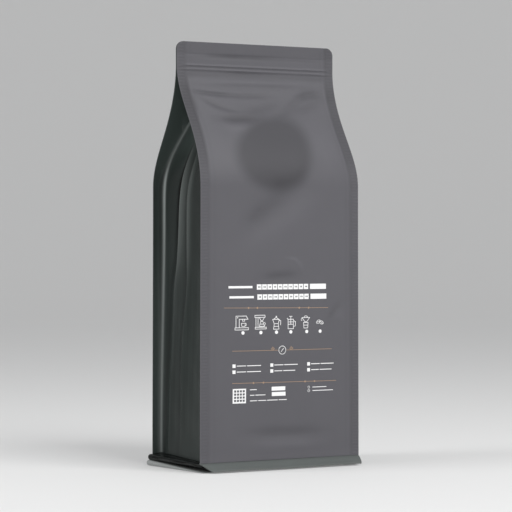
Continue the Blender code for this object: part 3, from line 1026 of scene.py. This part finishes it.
# Painted shade over each whole roll
ROLL_SHADE = 0.86
ROLL_RIPPLE = 0.22 * MM
RIPPLE_LIFT = 0.4
RIPPLE_START = 0.08
RIPPLE_HIGHLIGHT = 0.08
RIPPLE_ALONG = 4.0
RIPPLE_AROUND = 2.4
RIPPLE_SWAY = 1.3
RIPPLE_SWAY_RATE = 9.0
STRIP_STEPS = 72
LIP_EDGE_STEPS = 9
ROLL_CURVE_STEPS = 8
ROLL_EDGE_STEPS = 7


def skirt_profile(share):
    """A skirt's section, from under the face to its free edge: distance out from the face and height."""
    reach = SKIRT_EDGE - DEPTH_HALF
    out = (reach + SKIRT_UNDERLAP) * share - SKIRT_UNDERLAP
    drop = SKIRT_TOP - SKIRT_CLEARANCE - SKIRT_FILM
    return out, SKIRT_TOP - drop * ((1.0 - SKIRT_CURVE) * share + SKIRT_CURVE * ease(share))


def make_skirt(name, front):
    """The front or back skirt of the base film, with mitred ends and a slow wave along its free edge;
    painted highlights lie along its free edge and bend, and painted shade just below the face.
    """
    share = np.linspace(0.0, 1.0, PROFILE_STEPS)[:, None]
    across = np.linspace(0.0, 1.0, SKIRT_STEPS)[None, :]
    tip = float(tip_x(np.array(FOOT_HEIGHT)))
    left = -tip + SKIRT_LEFT_MITRE * share
    right = tip - SKIRT_RIGHT_MITRE * share**SKIRT_RIGHT_POWER
    x = left + (right - left) * across
    out, height = skirt_profile(share)
    wave = np.sin(across * SKIRT_WAVE_RATE) * ease(across / SKIRT_WAVE_START)
    height = height + SKIRT_WAVE * share * wave
    side = -1.0 if front else 1.0
    y = np.broadcast_to(side * (DEPTH_HALF + out), x.shape)
    outer = np.stack([x, y, height + SKIRT_FILM / 2], axis=-1)
    inner = np.stack([x, y - side * SKIRT_SETBACK, height - SKIRT_FILM / 2], axis=-1)
    piece = make_shell(name, outer, inner, "sage_grey_film", "sage_grey_film", flip=front)
    paled = np.maximum(bell(share - 1.0, SKIRT_HIGHLIGHT_WIDTH), bell(share - BEND_HIGHLIGHT_PLACE, BEND_HIGHLIGHT_WIDTH))
    shade = SKIRT_SHADE * bell(share - SKIRT_SHADE_PLACE, SKIRT_SHADE_WIDTH)
    rub, shade = np.broadcast_to(SKIRT_HIGHLIGHT * paled, x.shape), np.broadcast_to(shade, x.shape)
    paint(piece, shade=shade, rub=rub, seal=0.0)
    return piece


def make_base_floor():
    """The flat bottom panel, with its rounded lower edge and painted shade on its sides."""
    half_x = float(root_x(np.array(FOOT_HEIGHT))) - BASE_INSET
    half_y = DEPTH_HALF - FOOT_INSET
    rings = (*BASE_EDGE, ((SKIRT_TOP - BASE_DROP) / MM, 0.0))
    corner = np.linspace(0.0, math.pi / 2, BASE_CORNER_STEPS)
    points = []
    for height, inset in rings:
        for quarter, (side_x, side_y) in enumerate(((1, 1), (-1, 1), (-1, -1), (1, -1))):
            middle_x = side_x * (half_x - inset * MM - BASE_CORNER)
            middle_y = side_y * (half_y - inset * MM - BASE_CORNER)
            for a in corner + quarter * math.pi / 2:
                x, y = middle_x + BASE_CORNER * math.cos(a), middle_y + BASE_CORNER * math.sin(a)
                points.append((x, y, height * MM))
    faces = tube_faces(len(rings), 4 * BASE_CORNER_STEPS)
    piece = make_piece("base_floor", points, faces, "sage_grey_film", "sage_grey_film")
    wall = ease((np.array(points)[:, 2] - BASE_SHADE_START) / BASE_SHADE_REACH)
    paint(piece, shade=BASE_SHADE * wall, rub=0.0, seal=0.0)
    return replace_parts(piece, "base_panel")


def lip_section(reach, low, high, root_high):
    """A light lip: a tongue from under the gusset with a round free edge (out, height), in mm."""
    radius = (high - low) / 2
    turn = np.linspace(-math.pi / 2, math.pi / 2, LIP_EDGE_STEPS)
    edge = [(reach - radius + radius * math.cos(a), low + radius + radius * math.sin(a)) for a in turn]
    middle = (LIP_ROOT + reach) / 2
    underside = [(LIP_ROOT, low), (middle, low)]
    return underside + edge + [(middle, (high + root_high) / 2), (LIP_ROOT, root_high)]


def roll_section(reach, low, high, root_high):
    """The dark film's roll over the lip: down, out in a curve and back under (out, height), in mm."""
    run, fall = reach - ROLL_ROOT, root_high - high
    turn = np.linspace(0.0, math.pi / 2, ROLL_CURVE_STEPS)
    curve = [(ROLL_ROOT + run * (1.0 - math.cos(a)), root_high - fall * math.sin(a)) for a in turn]
    radius = (high - low) / 2
    end = np.linspace(math.pi / 2, -math.pi / 2, ROLL_EDGE_STEPS)[1:]
    edge = [(reach + radius * math.cos(a), low + radius + radius * math.sin(a)) for a in end]
    return curve + edge + [(ROLL_ROOT - ROLL_TAIL, low), (ROLL_ROOT - ROLL_TAIL, root_high)]


def sweep_strip(name, side, back_section, front_section, finish, slot, shade, thinning=1.0, ripple=0.0):
    """A closed strip along a gusset's foot, whose section changes from back to front; ripple wrinkles it and
    paints highlights on the wrinkles.
    """
    share = np.linspace(0.0, 1.0, STRIP_STEPS)[:, None]
    back, fore = np.array(back_section) * MM, np.array(front_section) * MM
    section = back[None] + (fore - back)[None] * (1.0 - (1.0 - share) ** thinning)[..., None]
    out, height = section[..., 0], section[..., 1]
    y = np.broadcast_to((DEPTH_HALF - FOOT_INSET) * (1.0 - 2.0 * share), out.shape)
    around = np.arange(out.shape[1])[None, :]
    sway = RIPPLE_SWAY * np.sin(RIPPLE_SWAY_RATE * share + side)
    wrinkle = np.sin(RIPPLE_ALONG * share + RIPPLE_AROUND * around + sway)
    raised = ripple * wrinkle * ease(share / RIPPLE_START)
    points = np.stack([side * (out + raised), y, height + RIPPLE_LIFT * raised], axis=-1)
    points = points.reshape(-1, 3).tolist()
    faces = tube_faces(*out.shape, flip=side > 0)
    piece = make_piece(name, points, faces, finish, slot, ROUND_SHARP_ANGLE)
    rub = RIPPLE_HIGHLIGHT * np.maximum(wrinkle, 0.0) ** 2 if ripple else 0.0
    paint(piece, shade=shade, rub=rub, seal=0.0)
    return piece


def make_foot():
    """The base film with its skirts and lips, and the gussets' rolled feet."""
    make_base_floor()
    make_skirt("front_skirt", True)
    make_skirt("back_skirt", False)
    lips = lip_section(*LIP_BACK), lip_section(*LIP_FRONT), "sage_grey_film_lip_painted_light", "sage_grey_film"
    rolls = roll_section(*ROLL_BACK), roll_section(*ROLL_FRONT), "satin_dark_green_film", "dark_green_film"
    for side, word in ((-1.0, "left"), (1.0, "right")):
        sweep_strip(word + "_lip", side, *lips, LIP_SHADE, thinning=LIP_THINNING)
        sweep_strip(word + "_roll", side, *rolls, ROLL_SHADE, ripple=ROLL_RIPPLE)


# Print: plates of ink on the front film, laid out in mm

INK_LIFT = 0.07 * MM
INK_SINK = -0.05 * MM
INK_CELL = 2.5
LINE_WIDTH = 0.36
ICON_LINE = 0.42
BAR_GAP = 0.9
BEAD_RADIUS = 0.75
BEAD_SIDES = 12
DOT_SIDES = 20
SMALL_DOT_SIDES = 10
RING_SIDES = 28

# The two scales: height, first box, ends of the thin bar at the left and of the wide bar at the right
SCALES = (
    (139.0, -22.8, (-46.9, -26.6), (24.5, 39.3)),
    (131.4, -22.3, (-46.1, -25.4), (25.0, 39.7)),
)
SCALE_BOXES = 10
SCALE_PITCH = 4.62
SCALE_BOX = 4.05
SCALE_HALF = 2.0
SCALE_BAR = 1.7
SCALE_MARKS = ((1.2, 1.75), (2.2, 2.95))
SCALE_MARK_HALF = 0.55

# Thin rules: left end, right end, places of the beads on them
RULES = (
    ((-50.4, 123.5), (41.2, 122.5), (-29.9, -22.3, 14.8, 23.4)),
    ((-43.5, 90.9), (-4.2, 90.8), ()),
    ((3.8, 90.8), (44.7, 90.7), ()),
    ((-43.4, 66.6), (49.0, 66.1), (-25.3, -16.6, 20.5, 29.1)),
)

# Pictures of brewing gear, from their lower left corners: closed and open lines, arcs and dots
ESPRESSO_MACHINE = {
    "loops": (((0, 0), (11.4, 0), (11.4, 1.6), (0, 1.6)), ((5.4, 5.0), (5.8, 2.6), (8.4, 2.6), (8.8, 5.0))),
    "lines": (
        ((0.8, 1.6), (0.8, 10.4), (9.6, 10.4), (11.0, 8.0)),
        ((11.0, 8.0), (3.6, 8.0), (3.6, 1.6)),
        ((6.4, 8.0), (6.4, 6.6), (8.2, 6.6), (8.2, 8.0)),
    ),
    "arcs": ((8.8, 4.0, 0.9, -80, 80, 6),),
    "dots": ((2.2, 9.2, 0.45),),
}
FILTER_BREWER = {
    "loops": (
        ((0.3, 0), (9.9, 0), (9.9, 1.3), (0.3, 1.3)),
        ((0, 8.8), (8.8, 8.8), (8.8, 10.4), (0, 10.4)),
        ((4.9, 5.6), (7.1, 5.6), (8.3, 2.0), (3.9, 2.0)),
    ),
    "lines": (
        ((0.9, 1.3), (0.9, 8.8)),
        ((2.7, 1.3), (2.7, 8.8)),
        ((3.8, 8.8), (5.2, 6.4), (6.8, 6.4), (8.2, 8.8)),
        ((4.4, 3.7), (7.8, 3.7)),
    ),
    "arcs": ((8.0, 3.8, 1.1, -80, 80, 6),),
}
STOVE_POT = {
    "loops": (((1.4, 0), (6.2, 0), (5.6, 4.2), (2.0, 4.2)),),
    "lines": (
        ((2.0, 4.2), (0.6, 7.4), (6.4, 7.4), (5.6, 4.2)),
        ((1.2, 7.4), (3.8, 9.0), (6.0, 7.4)),
        ((6.3, 6.8), (7.8, 6.4), (7.6, 3.2)),
        ((1.7, 2.1), (5.9, 2.1)),
    ),
    "dots": ((3.8, 9.6, 0.55),),
}
PLUNGER_JUG = {
    "loops": (((1.0, 0), (5.8, 0), (5.8, 7.2), (1.0, 7.2)),),
    "lines": (
        ((1.0, 7.2), (0.2, 8.0)),
        ((3.4, 3.4), (3.4, 9.2)),
        ((2.2, 9.4), (4.6, 9.4)),
        ((1.0, 3.4), (5.8, 3.4)),
        ((1.0, 5.2), (5.8, 5.2)),
        ((5.8, 6.0), (7.6, 5.4), (7.6, 2.2), (5.8, 1.6)),
    ),
}
CONE_DRIPPER = {
    "loops": (
        ((0.4, 8.0), (7.4, 8.0), (4.8, 4.8), (3.0, 4.8)),
        ((1.8, 4.2), (6.0, 4.2), (5.6, 0), (2.2, 0)),
    ),
    "lines": (((2.0, 2.2), (5.8, 2.2)),),
    "arcs": ((3.9, 8.0, 1.6, 0, 180, 8, 0.8), (0.6, 6.6, 0.9, 100, 260, 6)),
}
ICONS = (
    (-41.4, 106.8, ESPRESSO_MACHINE),
    (-24.4, 107.2, FILTER_BREWER),
    (-9.5, 106.8, STOVE_POT),
    (3.8, 106.9, PLUNGER_JUG),
    (16.9, 107.2, CONE_DRIPPER),
)
ICON_DOTS = (-34.6, -19.2, -5.5, 7.3, 21.7, 34.0)
ICON_DOT_HEIGHT = 104.5
ICON_DOT_RADIUS = 1.35

# Two beans, as middle and lean in radians
BEANS = ((32.3, 111.8, 0.5), (35.1, 111.2, -0.4))
BEAN_HALF = 1.9
BEAN_SQUASH = 0.62
BEAN_SIDES = 16
BEAN_SEAM = ((-1.7, 0.0), (-0.6, 0.35), (0.6, -0.35), (1.7, 0.0))

# The ring in the middle rule, its seam and a leaf at each side with a dot (height, radius, sides) in it
RING = (-0.2, 90.8, 3.1)
RING_WIDTH = 0.5
RING_SEAM_WIDTH = 0.4
RING_SEAM = ((-1.2, 89.6), (0.8, 92.0))
LEAVES = (-8.6, 7.8)
LEAF = ((-1.5, 91.9), (0, 93.3), (1.5, 91.9), (0, 90.9))
LEAF_DOT = (92.1, 0.4, 8)

# Small boxes with a thin bar behind each: their left edges, and the bars' right ends in the two rows
BOX_ROWS = (79.6, 75.1)
BOX_COLUMNS = ((-43.2, (-18.9, -18.9)), (-10.5, (13.7, 11.5)), (22.5, (46.8, 44.8)))
BOX_SIZE = 2.6
BOX_OVERHANG = 0.2
BOX_BAR_START = 3.4
BOX_BAR = 0.58
BOX_BAR_SPLIT = (0.42,)

# The square with its regular grid, the two labels, the thin bars round them as left, right, height and gaps,
# and the bars with a small ring (radius, width, sides) at their left
SQUARE = (-43.1, 51.4, -31.7, 62.4)
SQUARE_CELLS = 4
SQUARE_FIRST = (-41.9, 52.6)
SQUARE_PITCH = (2.45, 2.37)
SQUARE_CELL = (1.7, 1.6)
LABELS = ((-9.4, 60.1, 2.7, 63.1), (-9.2, 56.0, 3.0, 59.0))
SMALL_BARS = (
    (-28.3, -22.5, 61.4, ()),
    (-28.2, -14.8, 57.2, (0.35,)),
    (-28.2, 4.1, 53.0, (0.22, 0.46, 0.78)),
)
SMALL_BAR = 0.55
RINGED_BARS = ((61.7, 40.1), (59.0, 46.3))
RINGED_BAR = 0.5
RINGED_BAR_LEFT = 27.3
SMALL_RING_PLACE = 23.9
SMALL_RING = (0.85, 0.4, 14)


def arc(x, z, radius, start, end, steps=12, squash=1.0):
    """Places along an arc, in degrees from +X."""
    turn = np.radians(np.linspace(start, end, steps + 1))
    return [(x + radius * math.cos(a), z + radius * squash * math.sin(a)) for a in turn]


class Ink:
    """Collects the printed shapes of one ink."""

    def __init__(self):
        self.shapes = []

    def bar(self, left, low, right, high):
        """A rectangle, in cells that follow the film."""
        steps = max(1, math.ceil((right - left) / INK_CELL))
        edges = np.linspace(left, right, steps + 1)
        for a, b in zip(edges, edges[1:]):
            self.shapes.append([(a, low), (b, low), (b, high), (a, high)])

    def bar_row(self, left, right, middle, height, gaps=()):
        """Plain bars in a row; gaps are shares of the way along."""
        edges = [0.0, *gaps, 1.0]
        for a, b in zip(edges, edges[1:]):
            start, end = left + (right - left) * a, left + (right - left) * b
            gap = BAR_GAP if b < 1.0 else 0.0
            self.bar(start, middle - height / 2, end - gap, middle + height / 2)

    def stroke(self, points, width=ICON_LINE, closed=False):
        """A line of one width through the given places."""
        points = [np.array(point, float) for point in points]
        if closed:
            points.append(points[0])
        for a, b in zip(points, points[1:]):
            length = math.hypot(*(b - a))
            ahead = (b - a) / length * width / 2
            aside = np.array((ahead[1], -ahead[0]))
            steps = max(1, math.ceil(length / INK_CELL))
            places = np.linspace(a - ahead, b + ahead, steps + 1)
            for p, q in zip(places, places[1:]):
                self.shapes.append([p + aside, q + aside, q - aside, p - aside])

    def disc(self, x, z, radius, sides=DOT_SIDES):
        """A round dot."""
        self.shapes.append(arc(x, z, radius, 0.0, 360.0, sides)[:-1])

    def ring(self, x, z, radius, width, sides=RING_SIDES):
        """A round line."""
        self.stroke(arc(x, z, radius, 0.0, 360.0, sides), width)

    def icon(self, left, low, loops=(), lines=(), arcs=(), dots=()):
        """One picture, at its lower left corner."""
        for points in loops:
            self.stroke([(left + x, low + z) for x, z in points], closed=True)
        for points in (*lines, *(arc(*places) for places in arcs)):
            self.stroke([(left + x, low + z) for x, z in points])
        for x, z, radius in dots:
            self.disc(left + x, low + z, radius, SMALL_DOT_SIDES)

    def piece(self, name, finish, slot, lift=INK_LIFT):
        """Turns the shapes into thin closed plates on the film."""
        points, faces = [], []
        for shape in self.shapes:
            places = np.array(shape) * MM
            out = face_out(places[:, 0], places[:, 1], True)
            start, count = len(points), len(shape)
            for level in (lift, INK_SINK):
                points += [(x, -(o + level), z) for (x, z), o in zip(places, out)]
            faces.append([start + n for n in range(count)])
            faces.append([start + count + n for n in range(count)][::-1])
            for n in range(count):
                after = (n + 1) % count
                faces.append([start + after, start + n, start + count + n, start + count + after])
        piece = make_piece(name, points, faces, finish, slot, PLATE_SHARP_ANGLE)
        paint(piece, shade=0.0, rub=0.0, seal=0.0)
        return piece


def print_scales(white, mark):
    """Two scales: each a thin bar, ten small boxes with two marks each, and a wide bar."""
    for z, start, thin, wide in SCALES:
        white.bar_row(*thin, z, SCALE_BAR)
        for n in range(SCALE_BOXES):
            left = start + SCALE_PITCH * n
            white.bar(left, z - SCALE_HALF, left + SCALE_BOX, z + SCALE_HALF)
            for a, b in SCALE_MARKS:
                mark.bar(left + a, z - SCALE_MARK_HALF, left + b, z + SCALE_MARK_HALF)
        white.bar(wide[0], z - SCALE_HALF, wide[1], z + SCALE_HALF)


def print_rules(tan):
    """Thin rules with small beads on them."""
    for (left, left_z), (right, right_z), beads in RULES:
        tan.stroke([(left, left_z), (right, right_z)], LINE_WIDTH)
        for x in beads:
            tan.disc(x, left_z + (right_z - left_z) * (x - left) / (right - left), BEAD_RADIUS, BEAD_SIDES)


def print_icons(white):
    """Brewing gear and two beans, with a dot under each."""
    for left, low, icon in ICONS:
        white.icon(left, low, **icon)
    for x, z, lean in BEANS:
        c, s = math.cos(lean), math.sin(lean)
        for shape in (arc(0.0, 0.0, BEAN_HALF, 0, 360, BEAN_SIDES, BEAN_SQUASH), BEAN_SEAM):
            white.stroke([(x + a * c - b * s, z + a * s + b * c) for a, b in shape], LINE_WIDTH)
    for x in ICON_DOTS:
        white.disc(x, ICON_DOT_HEIGHT, ICON_DOT_RADIUS)


def print_ring(white, tan):
    """The ring in the middle rule and its two leaves."""
    white.ring(*RING, RING_WIDTH)
    white.stroke(RING_SEAM, RING_SEAM_WIDTH)
    for x in LEAVES:
        tan.stroke([(x + a, z) for a, z in LEAF], LINE_WIDTH, closed=True)
        tan.disc(x, *LEAF_DOT)


def print_lower_rows(white, mark):
    """Small boxes with thin bars, the square with its grid, two labels and the thin bars round them."""
    for x, ends in BOX_COLUMNS:
        for z, right in zip(BOX_ROWS, ends):
            left = x - BOX_OVERHANG
            white.bar(left, z - BOX_SIZE / 2, left + BOX_SIZE, z + BOX_SIZE / 2)
            white.bar_row(x + BOX_BAR_START, right, z, BOX_BAR, BOX_BAR_SPLIT)
    white.bar(*SQUARE)
    for column in range(SQUARE_CELLS):
        for row in range(SQUARE_CELLS):
            left = SQUARE_FIRST[0] + SQUARE_PITCH[0] * column
            low = SQUARE_FIRST[1] + SQUARE_PITCH[1] * row
            mark.bar(left, low, left + SQUARE_CELL[0], low + SQUARE_CELL[1])
    for label in LABELS:
        white.bar(*label)
    for left, right, z, gaps in SMALL_BARS:
        white.bar_row(left, right, z, SMALL_BAR, gaps)
    for z, right in RINGED_BARS:
        white.ring(SMALL_RING_PLACE, z, *SMALL_RING)
        white.bar_row(RINGED_BAR_LEFT, right, z, RINGED_BAR)


def make_print():
    """All print of the front face, in three inks."""
    white, tan, mark = Ink(), Ink(), Ink()
    print_scales(white, mark)
    print_rules(tan)
    print_icons(white)
    print_ring(white, tan)
    print_lower_rows(white, mark)
    white.piece("white_print", "white_ink", "white_ink")
    tan.piece("tan_print", "tan_ink", "tan_ink")
    mark.piece("mark_print", "dark_mark_ink", "matte_grey_film", 2.0 * INK_LIFT)


# Studio

STAGE_RADIUS = 3.2
STAGE_COVE = 1.4
STAGE_WALL = 2.6
STAGE_SIDES = 96
STAGE_COVE_STEPS = 16
STAGE_FLOOR_RADII = (0.02, 0.5, 1.5)
FLOOR_COLOUR = (0.54, 0.54, 0.537, 1.0)
FLOOR_ROUGHNESS = 0.8
FLOOR_GLOW = 0.20
WORLD_COLOUR = (0.95, 0.97, 1.0, 1.0)
WORLD_STRENGTH = 0.34

# Light boxes: name, azimuth and elevation in degrees, distance, width and height in metres, power in watts
LIGHT_BOXES = (
    ("overhead", 12.0, 43.0, 1.9, 1.2, 1.1, 30.5),
    ("front_fill", 20.0, 12.0, 2.2, 1.2, 1.0, 3.0),
    ("left_strip", -100.0, 28.0, 1.5, 0.60, 1.3, 11.5),
)
CAMERA_PLACE = (-0.8856, -1.5002, 0.1724)
CAMERA_AZIMUTH = -30.5625
CAMERA_ELEVATION = 0.3364
CAMERA_LENS = 157.76
CAMERA_SENSOR = 36.0


def way_out(azimuth, elevation):
    """The direction from the bag to a place, in degrees; azimuth 0 is in front and 90 at the right."""
    a, e = math.radians(azimuth), math.radians(elevation)
    return Vector((math.sin(a) * math.cos(e), -math.cos(a) * math.cos(e), math.sin(e)))


def make_stage():
    """A pale round floor that rises into a wall all round."""
    turn = np.linspace(0.0, math.pi / 2, STAGE_COVE_STEPS)
    profile = [(radius, 0.0) for radius in STAGE_FLOOR_RADII]
    profile += [(STAGE_RADIUS + STAGE_COVE * math.sin(a), STAGE_COVE * (1.0 - math.cos(a))) for a in turn]
    profile.append((STAGE_RADIUS + STAGE_COVE, STAGE_COVE + STAGE_WALL))
    angles = np.linspace(0.0, 2.0 * math.pi, STAGE_SIDES, endpoint=False)
    points = [(r * math.cos(a), r * math.sin(a), z) for r, z in profile for a in angles]
    faces = grid_quads(len(profile), STAGE_SIDES, closed=True).tolist()
    faces.append(list(range(STAGE_SIDES)))
    mesh = bpy.data.meshes.new("studio_floor")
    mesh.from_pydata(points, [], faces)
    mesh.shade_smooth()
    material = bpy.data.materials.new("pale_floor")
    material.use_nodes = True
    shader = material.node_tree.nodes["Principled BSDF"]
    shader.inputs["Base Color"].default_value = FLOOR_COLOUR
    shader.inputs["Roughness"].default_value = FLOOR_ROUGHNESS
    shader.inputs["Emission Color"].default_value = (1.0, 1.0, 1.0, 1.0)
    shader.inputs["Emission Strength"].default_value = FLOOR_GLOW
    mesh.materials.append(material)
    floor = bpy.data.objects.new("studio_floor", mesh)
    bpy.context.scene.collection.objects.link(floor)


def add_light_box(name, azimuth, elevation, distance, width, height, power):
    """An area light that looks at the middle of the bag."""
    data = bpy.data.lights.new(name, "AREA")
    data.shape = "RECTANGLE"
    data.size, data.size_y = width, height
    data.energy = power
    light = bpy.data.objects.new(name, data)
    away = way_out(azimuth, elevation)
    light.location = Vector((0.0, 0.0, BAG_HEIGHT / 2)) + away * distance
    light.rotation_euler = away.to_track_quat("Z", "Y").to_euler()
    light.visible_camera = False
    bpy.context.scene.collection.objects.link(light)


def make_lights():
    """Soft light from above and the front, with a long box at the left for the gusset's sheen."""
    bpy.context.scene.view_settings.view_transform = "Standard"
    world = bpy.context.scene.world or bpy.data.worlds.new("studio")
    bpy.context.scene.world = world
    world.use_nodes = True
    background = world.node_tree.nodes["Background"]
    background.inputs["Color"].default_value = WORLD_COLOUR
    background.inputs["Strength"].default_value = WORLD_STRENGTH
    for light_box in LIGHT_BOXES:
        add_light_box(*light_box)


def make_camera():
    """The camera at the photograph's angle."""
    data = bpy.data.cameras.new("camera")
    data.sensor_width = CAMERA_SENSOR
    data.lens = CAMERA_LENS
    camera = bpy.data.objects.new("camera", data)
    camera.location = CAMERA_PLACE
    ahead = -way_out(CAMERA_AZIMUTH, CAMERA_ELEVATION)
    camera.rotation_euler = ahead.to_track_quat("-Z", "Y").to_euler()
    bpy.context.scene.collection.objects.link(camera)
    bpy.context.scene.camera = camera


def main():
    """Builds the bag, its print and the studio."""
    make_face_film("front_film", "front_panel", True)
    make_face_film("back_film", "back_panel", False)
    make_pouch()
    make_foot()
    make_print()
    make_stage()
    make_lights()
    make_camera()


main()
